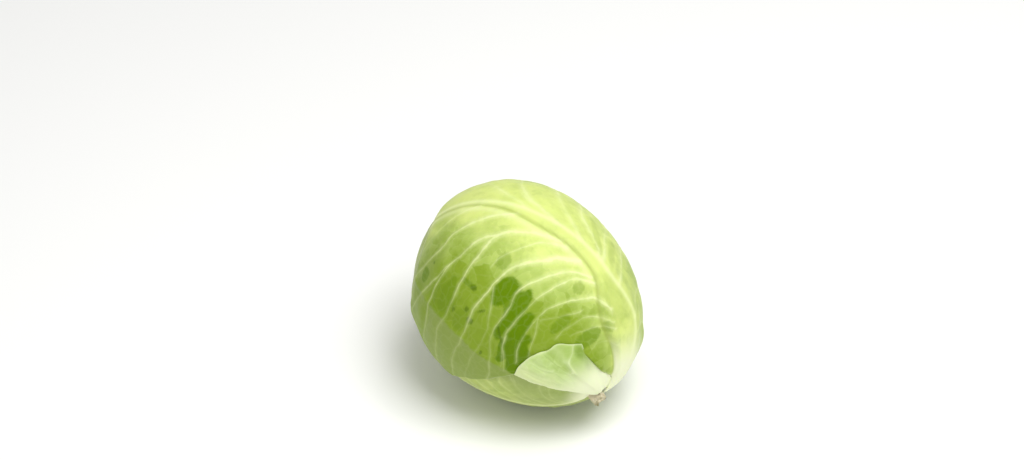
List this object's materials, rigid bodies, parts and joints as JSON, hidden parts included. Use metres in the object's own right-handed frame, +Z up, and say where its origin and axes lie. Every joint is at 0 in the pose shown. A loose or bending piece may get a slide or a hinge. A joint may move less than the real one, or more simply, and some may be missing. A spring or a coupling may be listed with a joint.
{
  "type": "cabbage head",
  "caption": "Round head of white cabbage lying on its side: waxy green leaves with pale ribs and veins wrapped over each other round a cut stalk.",
  "frame": {"origin": "middle of the small flat spot that the head rests on", "axes": "+Z up, away from the surface it rests on; the cut stalk points to +X and -Y, a little downwards"},
  "size_m": [0.1768, 0.1799, 0.1623],
  "materials": {
    "green_leaf": "green cabbage leaf with a grey waxy bloom and pale veins",
    "pale_leaf": "pale, thick base of a cabbage leaf",
    "heart_leaf": "cream inner cabbage leaf",
    "stalk": "cut cabbage stalk, dried at the cut"
  },
  "bodies": {
    "root": {"stalk": "stalk", "heart_bud": "heart_leaf", "torn_leaf_base": "pale_leaf", "wrapper_leaf_1": "green_leaf", "wrapper_leaf_2": "green_leaf", "wrapper_leaf_3": "green_leaf", "wrapper_leaf_4": "green_leaf", "wrapper_leaf_5": "green_leaf", "wrapper_leaf_6": "green_leaf", "heart_leaf_1": "heart_leaf", "heart_leaf_2": "heart_leaf", "heart_leaf_3": "heart_leaf", "heart_leaf_4": "heart_leaf", "heart_leaf_5": "heart_leaf", "heart_leaf_6": "heart_leaf", "heart_leaf_7": "heart_leaf", "heart_leaf_8": "heart_leaf", "heart_leaf_9": "heart_leaf", "heart_leaf_10": "heart_leaf", "heart_leaf_11": "heart_leaf", "heart_leaf_12": "heart_leaf"}
  },
  "joints": []
}
